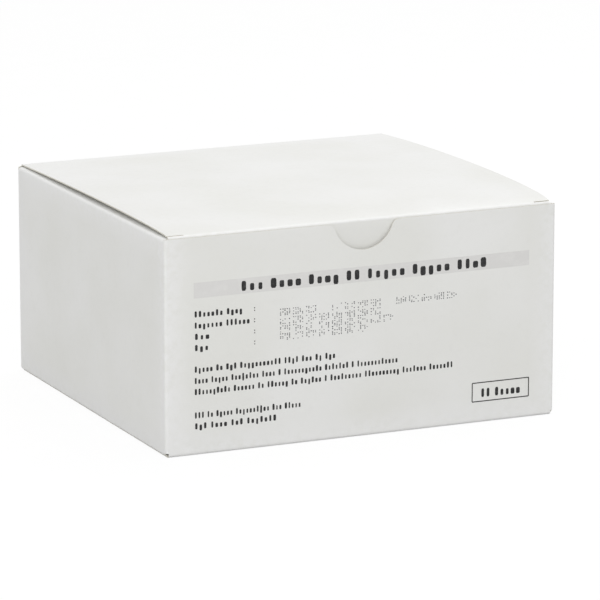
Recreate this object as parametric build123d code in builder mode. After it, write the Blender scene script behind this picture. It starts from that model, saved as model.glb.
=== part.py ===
from build123d import *
from math import atan, cos, degrees, pi, radians, sin
import os

# A folding carton of coated white paperboard with a tuck lid, packed with sealed foil pouches in
# two stacks and a folded leaflet. Millimetres. The origin is the centre of the base. +X runs along
# the front panel, the front faces -Y and +Z is up.

# Sealed pouch
pouch_width = 76.0
pouch_length = 142.0
pouch_height = 5.6
seal_width = 9.0
seal_thickness = 0.4
seal_corner = 2.0
blister_shoulder = 7.0
blister_corner = 8.0
tear_notch = 2.4
tear_offset = 12.0

# Stacks of pouches
tall_stack_count = 13
short_stack_count = 12
pouch_play = 2.3
drift_x = 0.8
drift_y = 1.0

# Folded leaflet
leaflet_width = 66.0
leaflet_length = 130.0
leaf_thickness = 0.35
leaf_gap = 0.12
leaf_count = 6

# Board and scores
board = 0.5
score_radius = 1.2
headroom = 7.7

# Lid panel
lid_inset = 1.8
lid_gap = 0.3
hinge_gap = 0.1
bow_left = 1.3
bow_right = 2.8
bow_front_reach = 7.0
bow_rear_reach = 55.0

# Tuck flap
tuck_depth = 18.0
tuck_lean = 5.0
tuck_clearance = 0.3
tuck_fold_radius = 0.8
tuck_corner = 8.0
slit_length = 6.5
slit_width = 0.6

# Dust flaps
dust_length = 55.0
dust_clearance = 0.6
dust_lock_length = 9.0
dust_lock_step = 2.0
dust_taper = 9.0
dust_corner = 6.0

# Thumb notch
thumb_radius = 12.4
thumb_depth = 10.5
thumb_shoulder = 3.0

# Glue flap
glue_width = 14.0
glue_bevel = 4.0
glue_end_gap = 3.0

# Glued bottom
minor_length = 50.0
seam_gap = 0.6
seam_offset = 9.0
seam_run = 9.0
tongue_width = 26.0
tongue_inset = 6.0

# The carton is sized around what it holds
lean = radians(tuck_lean)
tuck_reach = tuck_clearance + board * cos(lean) + tuck_depth * sin(lean)
floor_height = 2 * board
carton_width = 2 * pouch_width + 3 * pouch_play + 2 * board
carton_depth = pouch_length + 2 * pouch_play + tuck_reach + 2 * board
panel_height = floor_height + tall_stack_count * pouch_height + headroom + board
half_width = carton_width / 2
half_depth = carton_depth / 2
lid_half_width = half_width - lid_inset
lid_underside = panel_height + lid_gap
lid_top = lid_underside + board
straight_width = carton_width - 2 * score_radius
straight_depth = carton_depth - 2 * score_radius


def seam_line(end_x):
    """Hooked meeting line of the two outer bottom flaps, out to the given distance each side."""
    with BuildLine() as line:
        Polyline(
            (-end_x, seam_offset),
            (-seam_run, seam_offset),
            (seam_run, -seam_offset),
            (end_x, -seam_offset),
        )
    return line.line


with BuildPart() as carton_body:
    # Front panel, outer bottom flaps and back panel, scored across at the two bottom folds
    with BuildSketch(Plane.YZ):
        with BuildLine():
            FilletPolyline(
                (-half_depth, panel_height),
                (-half_depth, 0),
                (half_depth, 0),
                (half_depth, lid_underside - hinge_gap),
                radius=score_radius,
            )
            offset(amount=board, side=Side.LEFT)
        make_face()
    extrude(amount=straight_width / 2, both=True)

    # Side panels, rolled over at the top into the dust flaps and at the bottom into the inner flaps
    with BuildSketch(Plane.XZ):
        with BuildLine():
            top_roll = CenterArc((score_radius - half_width, panel_height - score_radius), score_radius, 90, 90)
            bottom_roll = CenterArc((score_radius - half_width, board + score_radius), score_radius, 180, 90)
            Line(top_roll @ 1, bottom_roll @ 0)
            offset(amount=board, side=Side.LEFT)
        make_face()
        mirror(about=Plane.YZ)
    extrude(amount=straight_depth / 2, both=True)

    # Four upright scores that join the panels
    with BuildSketch(Plane.XY.offset(board + score_radius)):
        RectangleRounded(carton_width, carton_depth, score_radius)
        offset(amount=-board, mode=Mode.SUBTRACT)
        Rectangle(straight_width, carton_depth, mode=Mode.SUBTRACT)
        Rectangle(carton_width, straight_depth, mode=Mode.SUBTRACT)
    extrude(amount=panel_height - board - score_radius)

    # Dust flaps, each with a shoulder that the lid's slit hooks over and a tapered free end
    dust_root = score_radius - half_width
    dust_tip = dust_length - half_width
    dust_front = board + tuck_clearance + board + dust_clearance - half_depth
    dust_shoulder = dust_front + dust_lock_step
    dust_rear = half_depth - score_radius
    with BuildSketch(Plane.XY.offset(panel_height)):
        with BuildLine():
            Polyline(
                (dust_root, dust_front),
                (dust_root + dust_lock_length, dust_front),
                (dust_root + dust_lock_length + dust_lock_step, dust_shoulder),
                (dust_tip, dust_shoulder + dust_taper),
                (dust_tip, dust_rear - dust_taper),
                (dust_root, dust_rear),
                close=True,
            )
        dust_flap = make_face()
        fillet(dust_flap.vertices().group_by(Axis.X)[-1], radius=dust_corner)
        mirror(about=Plane.YZ)
    extrude(amount=-board)

    # Thumb notch, a round bite with eased shoulders
    with BuildSketch(Plane.XZ.offset(half_depth)) as thumb_notch:
        with Locations((0, panel_height - thumb_depth + thumb_radius)):
            Circle(thumb_radius)
        with Locations((0, panel_height)):
            Rectangle(
                2 * (thumb_radius + 2 * thumb_shoulder),
                2 * thumb_radius,
                align=(Align.CENTER, Align.MIN),
            )
        fillet(thumb_notch.vertices().sort_by_distance((0, panel_height))[:2], radius=thumb_shoulder)
    extrude(amount=-2 * board, mode=Mode.SUBTRACT)

    # Glue flap, stuck inside the rear end of the right side panel
    with BuildSketch(Plane.YZ.offset(half_width - board)):
        with BuildLine():
            Polyline(
                (half_depth - score_radius, glue_end_gap),
                (half_depth - score_radius, panel_height - glue_end_gap),
                (half_depth - score_radius - glue_width, panel_height - glue_end_gap - glue_bevel),
                (half_depth - score_radius - glue_width, glue_end_gap + glue_bevel),
                close=True,
            )
        make_face()
    extrude(amount=-board)

    # Inner bottom flaps, glued down on the outer ones
    minor_root = score_radius - half_width
    minor_tip = minor_length - half_width
    minor_half = straight_depth / 2
    with BuildSketch(Plane.XY.offset(board)):
        with BuildLine():
            Polyline(
                (minor_root, -minor_half),
                (minor_tip, minor_length - score_radius - minor_half),
                (minor_tip, minor_half - minor_length + score_radius),
                (minor_root, minor_half),
                close=True,
            )
        make_face()
        mirror(about=Plane.YZ)
        trace(seam_line(half_width - tongue_inset), line_width=tongue_width)
    extrude(amount=board)

    # Seam between the outer bottom flaps
    with BuildSketch(Plane.XY):
        trace(seam_line(half_width), line_width=seam_gap)
    extrude(amount=board, mode=Mode.SUBTRACT)
carton_body.part.label = "carton_body"


# Fore-and-aft places of the lid's front fold
fold_y = board + tuck_clearance + tuck_fold_radius - half_depth
fold_z = lid_top - tuck_fold_radius
bow_crown_share = 0.75


def lid_section(plane, bow):
    """Side view of the lid: bowed panel, front fold and tuck flap, all one board thick."""
    rise = bow / bow_crown_share
    with BuildSketch(plane) as section:
        with BuildLine():
            top = Bezier(
                (half_depth, lid_top),
                (half_depth - bow_rear_reach, lid_top + rise),
                (fold_y + bow_front_reach, lid_top + rise),
                (fold_y, lid_top),
            )
            outer_fold = CenterArc((fold_y, fold_z), tuck_fold_radius, 90, 90 + tuck_lean)
            outer_flap = PolarLine(outer_fold @ 1, tuck_depth, direction=outer_fold % 1)
            under = Bezier(
                (half_depth, lid_underside),
                (half_depth - bow_rear_reach, lid_underside + rise),
                (fold_y + bow_front_reach, lid_underside + rise),
                (fold_y, lid_underside),
            )
            inner_fold = CenterArc((fold_y, fold_z), tuck_fold_radius - board, 90, 90 + tuck_lean)
            inner_flap = PolarLine(inner_fold @ 1, tuck_depth, direction=inner_fold % 1)
            Line(outer_flap @ 1, inner_flap @ 1)
            Line(top @ 0, under @ 0)
        make_face()
    return section.sketch


with BuildPart() as lid:
    left_section = lid_section(Plane.YZ.offset(-lid_half_width), bow_left)
    right_section = lid_section(Plane.YZ.offset(lid_half_width), bow_right)
    loft([left_section, right_section], ruled=True)

    # Round corners of the tuck flap
    tip = lid.faces().sort_by(Axis.Z)[0]
    fillet(tip.edges().sort_by(SortBy.LENGTH)[:2], radius=tuck_corner)

    # Slits at both ends of the front fold
    with BuildSketch(Plane.XY.offset(lid_underside - board)):
        with Locations((-lid_half_width, fold_y), (lid_half_width, fold_y)):
            Rectangle(2 * slit_length, slit_width, align=(Align.CENTER, Align.MIN))
    extrude(amount=3 * board + bow_right, mode=Mode.SUBTRACT)
lid.part.label = "lid"


def make_pouch(plane):
    """One sealed pouch lying flat: a taut blister over its contents, inside a flat sealed border."""
    blister_width = pouch_width - 2 * seal_width
    blister_length = pouch_length - 2 * seal_width
    slope = degrees(atan(blister_shoulder / (pouch_height / 2)))
    with BuildPart() as pouch:
        with BuildSketch(plane):
            blister = Rectangle(blister_width, blister_length)
            chamfer(blister.vertices(), length=blister_corner)
        extrude(amount=pouch_height / 2, taper=slope)
        with BuildSketch(plane):
            RectangleRounded(pouch_width, pouch_length, seal_corner)
            with Locations(
                (-pouch_width / 2, pouch_length / 2 - tear_offset),
                (pouch_width / 2, pouch_length / 2 - tear_offset),
            ):
                Rectangle(tear_notch, tear_notch, rotation=45, mode=Mode.SUBTRACT)
        extrude(amount=seal_thickness / 2)
        mirror(about=plane)
    return pouch.part


# Two stacks of pouches side by side, each pouch a little out of line with the next
stack_x = (pouch_width + pouch_play) / 2
stack_y = board + tuck_reach + pouch_play + pouch_length / 2 - half_depth
golden_angle = pi * (3 - 5 ** 0.5)
pouches = []
for side, count in ((-1, tall_stack_count), (1, short_stack_count)):
    for level in range(count):
        turn = golden_angle * len(pouches)
        place = (
            side * stack_x + drift_x * cos(turn),
            stack_y + drift_y * sin(turn),
            floor_height + pouch_height / 2 + level * pouch_height,
        )
        pouches.append(make_pouch(Plane(origin=place)))
        pouches[-1].label = f"pouch_{len(pouches):02d}"


# Folded leaflet, a serpentine of leaves lying on the shorter stack
leaf_pitch = leaf_thickness + leaf_gap
leaf_run = leaflet_width / 2 - leaf_pitch / 2 - leaf_thickness / 2
leaflet_base = floor_height + short_stack_count * pouch_height
with BuildPart() as package_insert:
    with BuildSketch(Plane(origin=(stack_x, stack_y, leaflet_base), z_dir=(0, -1, 0), x_dir=(1, 0, 0))):
        with BuildLine():
            for leaf in range(leaf_count):
                height = leaf_thickness / 2 + leaf * leaf_pitch
                Line((-leaf_run, height), (leaf_run, height))
                if leaf < leaf_count - 1:
                    end = 1 if leaf % 2 == 0 else -1
                    CenterArc((end * leaf_run, height + leaf_pitch / 2), leaf_pitch / 2, -90, end * 180)
        trace(line_width=leaf_thickness)
    extrude(amount=leaflet_length / 2, both=True)
package_insert.part.label = "package_insert"


os.makedirs("parts", exist_ok=True)
export_step(carton_body.part, "parts/carton_body.step")
export_step(lid.part, "parts/lid.step")
export_step(package_insert.part, "parts/package_insert.step")
for pouch in pouches:
    export_step(pouch, f"parts/{pouch.label}.step")
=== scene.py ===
"""Looks of a folding carton that holds sealed test pouches and a folded leaflet.

Lengths are in metres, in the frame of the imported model: +X runs along the front panel, the front
faces -Y and +Z is up. Places on the front panel are measured from the middle of its lower edge.
"""

import logging
import math
import random
from dataclasses import dataclass
from enum import Enum, IntEnum
from typing import Callable, Iterable, Sequence

import bmesh
import bpy
from mathutils import Matrix, Vector


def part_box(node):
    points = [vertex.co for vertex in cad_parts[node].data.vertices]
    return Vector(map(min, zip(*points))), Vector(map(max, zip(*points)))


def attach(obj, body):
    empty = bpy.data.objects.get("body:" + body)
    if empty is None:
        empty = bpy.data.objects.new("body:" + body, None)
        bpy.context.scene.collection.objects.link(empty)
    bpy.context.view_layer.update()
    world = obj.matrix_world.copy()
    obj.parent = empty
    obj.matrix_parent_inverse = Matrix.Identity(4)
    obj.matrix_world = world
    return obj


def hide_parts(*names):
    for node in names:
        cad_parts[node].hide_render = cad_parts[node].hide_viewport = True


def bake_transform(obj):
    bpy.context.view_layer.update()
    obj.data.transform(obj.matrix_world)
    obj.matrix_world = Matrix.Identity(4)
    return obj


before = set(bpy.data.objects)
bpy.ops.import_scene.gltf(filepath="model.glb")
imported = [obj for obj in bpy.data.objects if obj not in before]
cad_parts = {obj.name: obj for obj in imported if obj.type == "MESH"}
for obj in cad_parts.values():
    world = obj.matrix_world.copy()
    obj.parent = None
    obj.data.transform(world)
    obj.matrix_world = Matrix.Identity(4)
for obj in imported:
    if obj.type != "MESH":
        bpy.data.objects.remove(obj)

MM = 0.001

# Points within NEAR count as on a line. Doubles within MERGE become one, and a cut snaps within SNAP.
NEAR = 0.02 * MM
MERGE = NEAR / 4
SNAP = NEAR / 10

# Names of the data that the sheets carry for their materials.
SCORE_LAYER = "score"
SHEET_LAYER = "sheet"

log = logging.getLogger("carton")

Test = Callable[[Vector], bool]
Rule = Callable[[Vector], Vector]
Piece = bpy.types.Object
Material = bpy.types.Material
Socket = bpy.types.NodeSocket
Value = Socket | float | tuple
Colour = tuple[float, float, float, float]
Pair = tuple[float, float]
Triple = tuple[float, float, float]
TextRow = tuple[float, float, tuple[int, ...]]
CodedRow = tuple[float, int, tuple[int, ...]]


class Part(Enum):
    """What a step in edit mode selects."""

    VERTEX = 0
    EDGE = 1
    FACE = 2


class Axis(IntEnum):
    """An axis of the frame, which is also its place in a point."""

    X = 0
    Y = 1
    Z = 2

    def along(self, length: float, rest: float = 0.0) -> tuple[float, ...]:
        """Three values: the length on this axis and the rest on the other two."""
        return tuple(length if axis is self else rest for axis in Axis)


class Body(Enum):
    """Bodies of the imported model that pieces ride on."""

    CARTON = "carton"
    LID = "lid"


class Slot(Enum):
    """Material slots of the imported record."""

    BOARD = "coated_board"
    FOIL = "pouch_foil"
    PAPER = "leaflet_paper"


def clear_selection() -> None:
    """Deselects every object, so that an operator acts on the next piece alone."""
    bpy.ops.object.select_all(action="DESELECT")


def take(piece: Piece) -> None:
    """Makes the piece the only selected and the active object.

    Args:
        piece: The object that the next operator acts on.
    """
    clear_selection()
    piece.select_set(True)
    bpy.context.view_layer.objects.active = piece


def added(name: str) -> Piece:
    """Names the primitive that was just added and moves its place and size into its mesh.

    Args:
        name: Name of the piece and of its mesh.

    Returns:
        The named object.
    """
    piece = bpy.context.object
    piece.name = name
    piece.data.name = name
    take(piece)
    bpy.ops.object.transform_apply(location=True, rotation=True, scale=True)
    return piece


def apply(piece: Piece, kind: str, **settings: object) -> None:
    """Adds a modifier with the given settings and applies it.

    Args:
        piece: The mesh object to change.
        kind: Blender's name of the modifier's type.
        **settings: Values of the modifier's own settings.
    """
    take(piece)
    modifier = piece.modifiers.new(kind.title(), kind)
    for name, value in settings.items():
        setattr(modifier, name, value)
    bpy.ops.object.modifier_apply(modifier=modifier.name)


def smooth(piece: Piece, angle: float = 30.0) -> None:
    """Shades the piece smooth, apart from edges sharper than the angle in degrees."""
    take(piece)
    bpy.ops.object.shade_smooth_by_angle(angle=math.radians(angle))


def copied(master: Piece, name: str, place: Matrix) -> Piece:
    """Copies a finished shape with a mesh of its own.

    Args:
        master: The shape that repeats.
        name: Name of the copy.
        place: Where the copy goes, moved into its mesh.

    Returns:
        The new object.
    """
    piece = master.copy()
    piece.data = master.data.copy()
    piece.name = name
    piece.data.name = name
    bpy.context.scene.collection.objects.link(piece)
    piece.data.transform(place)
    return piece


def joined(pieces: Sequence[Piece], name: str) -> Piece:
    """Joins several objects into one mesh object.

    Args:
        pieces: The objects to join.
        name: Name of the result.

    Returns:
        The first object, which now holds the meshes of all.
    """
    clear_selection()
    for piece in pieces:
        piece.select_set(True)
    bpy.context.view_layer.objects.active = pieces[0]
    if len(pieces) > 1:
        bpy.ops.object.join()
    pieces[0].name = name
    pieces[0].data.name = name
    return pieces[0]


def discard(piece: Piece) -> None:
    """Removes a shape that was only copied from."""
    bpy.data.objects.remove(piece, do_unlink=True)


class Bench:
    """Edit mode on one piece, where the geometry to work on is chosen by its place."""

    def __init__(self, piece: Piece) -> None:
        """Keeps the piece to work on."""
        self.piece = piece

    def __enter__(self) -> "Bench":
        """Enters edit mode with nothing selected.

        Returns:
            The bench itself.
        """
        take(self.piece)
        bpy.ops.object.mode_set(mode="EDIT")
        bpy.ops.mesh.select_all(action="DESELECT")
        return self

    def __exit__(self, *_: object) -> None:
        """Leaves edit mode."""
        bpy.ops.object.mode_set(mode="OBJECT")

    def choose(self, part: Part, test: Test) -> None:
        """Selects the parts whose middle passes the test, and nothing else.

        Args:
            part: Vertices, edges or faces.
            test: Says whether a middle point is in.
        """
        bpy.context.tool_settings.mesh_select_mode = [kind is part for kind in Part]
        bpy.ops.mesh.select_all(action="DESELECT")
        mesh = bmesh.from_edit_mesh(self.piece.data)
        if part is Part.VERTEX:
            chosen = [v for v in mesh.verts if test(v.co)]
        elif part is Part.EDGE:
            chosen = [e for e in mesh.edges if test((e.verts[0].co + e.verts[1].co) / 2)]
        else:
            chosen = [f for f in mesh.faces if test(f.calc_center_median())]
        for element in chosen:
            element.select_set(True)
        mesh.select_flush_mode()
        bmesh.update_edit_mesh(self.piece.data)

    def everything(self) -> None:
        """Selects the whole mesh."""
        bpy.context.tool_settings.mesh_select_mode = (False, False, True)
        bpy.ops.mesh.select_all(action="SELECT")

    def pull(self, x: float = 0.0, y: float = 0.0, z: float = 0.0) -> None:
        """Extrudes the chosen edges by an offset and leaves the new ones chosen."""
        bpy.ops.mesh.extrude_edges_move(TRANSFORM_OT_translate={"value": (x, y, z)})

    def thicken(self, x: float = 0.0, y: float = 0.0, z: float = 0.0) -> None:
        """Extrudes the chosen faces by an offset and leaves the new ones chosen."""
        bpy.ops.mesh.extrude_region_move(TRANSFORM_OT_translate={"value": (x, y, z)})

    def roll(self, centre: Triple, axis: Axis, degrees: float, steps: int) -> None:
        """Spins the chosen edges round a score by the right-hand rule.

        Args:
            centre: A point on the score's axis.
            axis: The axis that it lies along.
            degrees: Angle of the fold.
            steps: How many faces the fold has.
        """
        bpy.ops.mesh.spin(steps=steps, angle=-math.radians(degrees), center=centre, axis=axis.along(1.0))

    def cut(self, axis: Axis, places: Iterable[float], test: Test | None = None) -> None:
        """Bisects the mesh square to an axis at each place.

        Args:
            axis: The axis.
            places: Where each cut goes along the axis.
            test: Chooses the faces to cut. All are cut without it.
        """
        for place in places:
            if test is None:
                self.everything()
            else:
                self.choose(Part.FACE, test)
            bpy.ops.mesh.bisect(plane_co=axis.along(place), plane_no=axis.along(1.0), threshold=SNAP)

    def fit_ends(self, axis: Axis, before: Pair, after: Pair) -> None:
        """Moves and stretches what is chosen so that its two ends change place.

        Args:
            axis: The axis along which the ends lie.
            before: Places of the low and high ends now.
            after: Where those ends go.
        """
        stretch = (after[1] - after[0]) / (before[1] - before[0])
        middle = sum(after) / 2
        bpy.ops.transform.translate(value=axis.along(middle - sum(before) / 2))
        bpy.ops.transform.resize(value=axis.along(stretch, 1.0), center_override=axis.along(middle))

    def remove(self) -> None:
        """Deletes the chosen faces."""
        bpy.ops.mesh.delete(type="FACE")

    def shape(self, rule: Rule, test: Test = lambda _: True) -> None:
        """Moves vertices to where a rule puts them.

        Args:
            rule: Gives the new place of a point.
            test: Chooses the vertices to move. All are moved without it.
        """
        mesh = bmesh.from_edit_mesh(self.piece.data)
        for vertex in mesh.verts:
            if test(vertex.co):
                vertex.co = rule(vertex.co.copy())
        bmesh.update_edit_mesh(self.piece.data)

    def merge(self) -> None:
        """Merges the vertices that lie at the same place."""
        self.everything()
        bpy.ops.mesh.remove_doubles(threshold=MERGE)

    def face_out(self) -> None:
        """Turns every face outwards."""
        self.everything()
        bpy.ops.mesh.normals_make_consistent(inside=False)


class Graph:
    """A node tree under construction."""

    def __init__(self, tree: bpy.types.NodeTree) -> None:
        """Keeps the tree to build in."""
        self.tree = tree

    def node(self, kind: str, inputs: dict | None = None, **settings: object) -> bpy.types.Node:
        """Adds a node.

        Args:
            kind: Blender's name of the node's type.
            inputs: A value, or another node's output socket, for each named input.
            **settings: Values of the node's own settings.

        Returns:
            The new node.
        """
        made = self.tree.nodes.new(kind)
        for name, value in settings.items():
            setattr(made, name, value)
        for name, value in (inputs or {}).items():
            self.feed(made.inputs[name], value)
        return made

    def feed(self, socket: Socket, value: Value) -> None:
        """Joins an output to a socket, or sets the socket's own value.

        Args:
            socket: The input to feed.
            value: Another node's output, or a plain value.
        """
        if isinstance(value, Socket):
            self.tree.links.new(value, socket)
        else:
            socket.default_value = value

    def place(self, scale: Sequence[float] = (1.0, 1.0, 1.0)) -> Socket:
        """Object coordinates, stretched along each axis."""
        source = self.node("ShaderNodeTexCoord").outputs["Object"]
        return self.node("ShaderNodeMapping", {"Vector": source, "Scale": scale}).outputs["Vector"]

    def noise(self, where: Socket, scale: float, detail: float) -> Socket:
        """A noise value over the given coordinates, its scale in cells per unit of them."""
        return self.node("ShaderNodeTexNoise", {"Vector": where, "Scale": scale, "Detail": detail}).outputs[0]

    def ranged(self, value: Socket, result: Pair, over: Pair = (0.0, 1.0)) -> Socket:
        """Maps one range of a value to another and clamps it there.

        Args:
            value: The value to map.
            result: What the low and high ends of the value's range become.
            over: The range of the value.

        Returns:
            The mapped value.
        """
        inputs = {"Value": value, "From Min": over[0], "From Max": over[1]}
        inputs |= {"To Min": result[0], "To Max": result[1]}
        return self.node("ShaderNodeMapRange", inputs).outputs[0]

    def maths(self, operation: str, first: Value, second: Value = 0.0) -> Socket:
        """One step of arithmetic.

        Args:
            operation: Blender's name of the step.
            first: The first value.
            second: The second value, which some steps don't read.

        Returns:
            The result.
        """
        made = self.node("ShaderNodeMath", operation=operation)
        self.feed(made.inputs[0], first)
        self.feed(made.inputs[1], second)
        return made.outputs[0]

    def product(self, first: Value, *others: Value) -> Socket:
        """All the given values multiplied together.

        Args:
            first: The first value.
            *others: The values that it is multiplied by.

        Returns:
            The product.
        """
        for other in others:
            first = self.maths("MULTIPLY", first, other)
        return first

    def within(self, value: Socket, span: Pair) -> Socket:
        """One between the two ends of a span and zero outside them."""
        low, high = span
        return self.product(self.maths("GREATER_THAN", value, low), self.maths("LESS_THAN", value, high))

    def dashes(self, value: Socket, pitch: float, share: float) -> Socket:
        """One over the first share of every pitch of a value and zero over the rest."""
        return self.maths("LESS_THAN", self.maths("FRACT", self.maths("DIVIDE", value, pitch)), share)

    def mixed(self, share: Value, first: Value, second: Value) -> Socket:
        """A colour between two others.

        Args:
            share: How much of the second colour there is, from 0 to 1.
            first: The first colour.
            second: The second colour.

        Returns:
            The mixed colour.
        """
        made = self.node("ShaderNodeMix", data_type="RGBA")
        self.feed(made.inputs["Factor"], share)
        self.feed(made.inputs["A"], first)
        self.feed(made.inputs["B"], second)
        return made.outputs["Result"]

    def bump(self, height: Socket, distance: float, below: Socket | None = None) -> Socket:
        """A bumped normal.

        Args:
            height: The height.
            distance: How far a height of 1 stands off the surface.
            below: The normal that this one lies on, if there is one.

        Returns:
            The new normal.
        """
        made = self.node("ShaderNodeBump", {"Height": height, "Distance": distance})
        if below is not None:
            self.feed(made.inputs["Normal"], below)
        return made.outputs["Normal"]

    def seen(self) -> Socket:
        """Tells what is seen from what only lights the object.

        Returns:
            One for a ray from the camera, a mirror or glass, and zero for any other.
        """
        paths = self.node("ShaderNodeLightPath").outputs
        mirrored = self.maths("MAXIMUM", paths["Is Glossy Ray"], paths["Is Transmission Ray"])
        return self.maths("MAXIMUM", paths["Is Camera Ray"], mirrored)


class Recipe(Graph):
    """A node material under construction."""

    def __init__(self, name: str) -> None:
        """Makes a material with its shader and output joined.

        Args:
            name: Name of the material.
        """
        self.material = bpy.data.materials.new(name)
        self.material.use_nodes = True
        super().__init__(self.material.node_tree)
        self.shader = self.tree.nodes["Principled BSDF"]
        self.output = self.tree.nodes["Material Output"]

    def set(self, name: str, value: Value) -> None:
        """Feeds one of the shader's own inputs."""
        self.feed(self.shader.inputs[name], value)


@dataclass(frozen=True)
class PrintedRows:
    """Rows of word-like blocks: their pitch and the share of it that is inked, and the words' lengths."""

    pitch: float
    share: float
    word_pitch: float
    word_break: float

    def mask(self, graph: Graph, across: Socket, along: Socket) -> Socket:
        """Marks the blocks.

        Args:
            graph: The material's graph.
            across: Place along a row.
            along: Place from row to row.

        Returns:
            One on a block and zero beside it.
        """
        lane = graph.maths("FLOOR", graph.maths("DIVIDE", along, self.pitch))
        word = graph.maths("DIVIDE", across, self.word_pitch)
        cells = graph.node("ShaderNodeCombineXYZ", {"X": word, "Y": lane})
        noise = graph.noise(cells.outputs["Vector"], scale=1.0, detail=1.0)
        words = graph.maths("GREATER_THAN", noise, self.word_break)
        return graph.product(graph.dashes(along, self.pitch, self.share), words)


def linear(red: int, green: int, blue: int) -> Colour:
    """Turns a screen colour into the linear colour that a shader takes.

    Args:
        red: Level of red, from 0 to 255.
        green: Level of green.
        blue: Level of blue.

    Returns:
        The linear colour, opaque.
    """
    def one(level: int) -> float:
        """One channel by the screen's curve."""
        share = level / 255
        return share / 12.92 if share <= 0.04045 else ((share + 0.055) / 1.055) ** 2.4

    return (one(red), one(green), one(blue), 1.0)


@dataclass(frozen=True)
class CoatedBoard:
    """White clay-coated face of the board, satin, with scores whose wear is painted lighter as a highlight.
    """

    name: str = "clay_coating"
    white: Colour = linear(238, 238, 236)
    shade: Colour = linear(233, 233, 229)
    speck: Colour = linear(222, 221, 216)
    worn_highlight: Colour = linear(241, 241, 240)
    speck_share: float = 0.10
    least_rub_highlight: float = 0.35
    roughness: Pair = (0.37, 0.48)
    rubbed_roughness: float = 0.12
    specular: float = 0.42
    coat: float = 0.10
    coat_roughness: float = 0.28
    cloud_span: Pair = (0.35, 0.65)
    speck_span: Pair = (0.55, 0.75)
    rub_highlight_span: Pair = (0.35, 0.6)
    satin_span: Pair = (0.3, 0.7)
    cloud_scale: float = 22.0
    mottle_scale: float = 420.0
    fibre_scale: float = 1500.0
    fibre_run: Triple = (1.0, 1.0, 3.0)
    wave_height: float = 0.12 * MM
    fibre_height: float = 0.006 * MM

    def material(self) -> Material:
        """Builds the board's mottle, fibres and the scores' wear, whose lighter colour is a painted highlight
        along the folds.

        Returns:
            The finished material.
        """
        graph = Recipe(self.name)
        where = graph.place()
        cloud = graph.noise(where, self.cloud_scale, detail=2.0)
        mottle = graph.noise(where, self.mottle_scale, detail=4.0)
        fibre = graph.noise(graph.place(self.fibre_run), self.fibre_scale, detail=5.0)
        colour = graph.mixed(graph.ranged(cloud, (0.0, 1.0), over=self.cloud_span), self.white, self.shade)
        speck = graph.ranged(mottle, (0.0, self.speck_share), over=self.speck_span)
        colour = graph.mixed(speck, colour, self.speck)
        score = graph.node("ShaderNodeAttribute", attribute_name=SCORE_LAYER).outputs["Fac"]
        # Scores get a lighter colour, a painted highlight along the folds, together with the coating's real
        # wear in roughness.
        rubbed_highlight = graph.product(score, graph.ranged(mottle, (self.least_rub_highlight, 1.0), over=self.rub_highlight_span))
        graph.set("Base Color", graph.mixed(rubbed_highlight, colour, self.worn_highlight))
        rough = graph.ranged(mottle, self.roughness, over=self.satin_span)
        graph.set("Roughness", graph.maths("ADD", rough, graph.product(rubbed_highlight, self.rubbed_roughness)))
        graph.set("Specular IOR Level", self.specular)
        graph.set("Coat Weight", self.coat)
        graph.set("Coat Roughness", self.coat_roughness)
        wave = graph.bump(cloud, self.wave_height)
        graph.set("Normal", graph.bump(fibre, self.fibre_height, wave))
        return graph.material


@dataclass(frozen=True)
class BareBoard:
    """Uncoated back of the board, matt and faintly grey, with fibres."""

    name: str = "bare_board"
    pulp: Colour = linear(222, 220, 212)
    strand: Colour = linear(196, 193, 182)
    fleck: Colour = linear(168, 160, 144)
    strand_share: float = 0.45
    strand_span: Pair = (0.35, 0.75)
    fleck_share: float = 0.5
    fleck_span: Pair = (0.68, 0.8)
    roughness: float = 0.85
    specular: float = 0.2
    strand_scale: float = 900.0
    strand_run: Triple = (1.0, 0.25, 1.0)
    fleck_scale: float = 2600.0
    strand_height: float = 0.02 * MM

    def material(self) -> Material:
        """Builds long soft fibres with a few darker flecks.

        Returns:
            The finished material.
        """
        graph = Recipe(self.name)
        strand = graph.noise(graph.place(self.strand_run), self.strand_scale, detail=5.0)
        fleck = graph.noise(graph.place(), self.fleck_scale, detail=2.0)
        in_strand = graph.ranged(strand, (0.0, self.strand_share), over=self.strand_span)
        in_fleck = graph.ranged(fleck, (0.0, self.fleck_share), over=self.fleck_span)
        colour = graph.mixed(in_strand, self.pulp, self.strand)
        graph.set("Base Color", graph.mixed(in_fleck, colour, self.fleck))
        graph.set("Roughness", self.roughness)
        graph.set("Specular IOR Level", self.specular)
        graph.set("Normal", graph.bump(strand, self.strand_height))
        return graph.material


@dataclass(frozen=True)
class CutEdge:
    """Die-cut edge of the board, where its layered pulp shows."""

    name: str = "cut_edge"
    pulp: Colour = linear(226, 223, 214)
    layer: Colour = linear(200, 196, 184)
    layer_share: float = 0.8
    layer_span: Pair = (0.4, 0.7)
    roughness: float = 0.9
    grain_scale: float = 2400.0
    grain_height: float = 0.03 * MM

    def material(self) -> Material:
        """Builds a rough edge with fine torn layers.

        Returns:
            The finished material.
        """
        graph = Recipe(self.name)
        grain = graph.noise(graph.place(), self.grain_scale, detail=4.0)
        torn = graph.ranged(grain, (0.0, self.layer_share), over=self.layer_span)
        graph.set("Base Color", graph.mixed(torn, self.pulp, self.layer))
        graph.set("Roughness", self.roughness)
        graph.set("Normal", graph.bump(grain, self.grain_height))
        return graph.material


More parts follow.
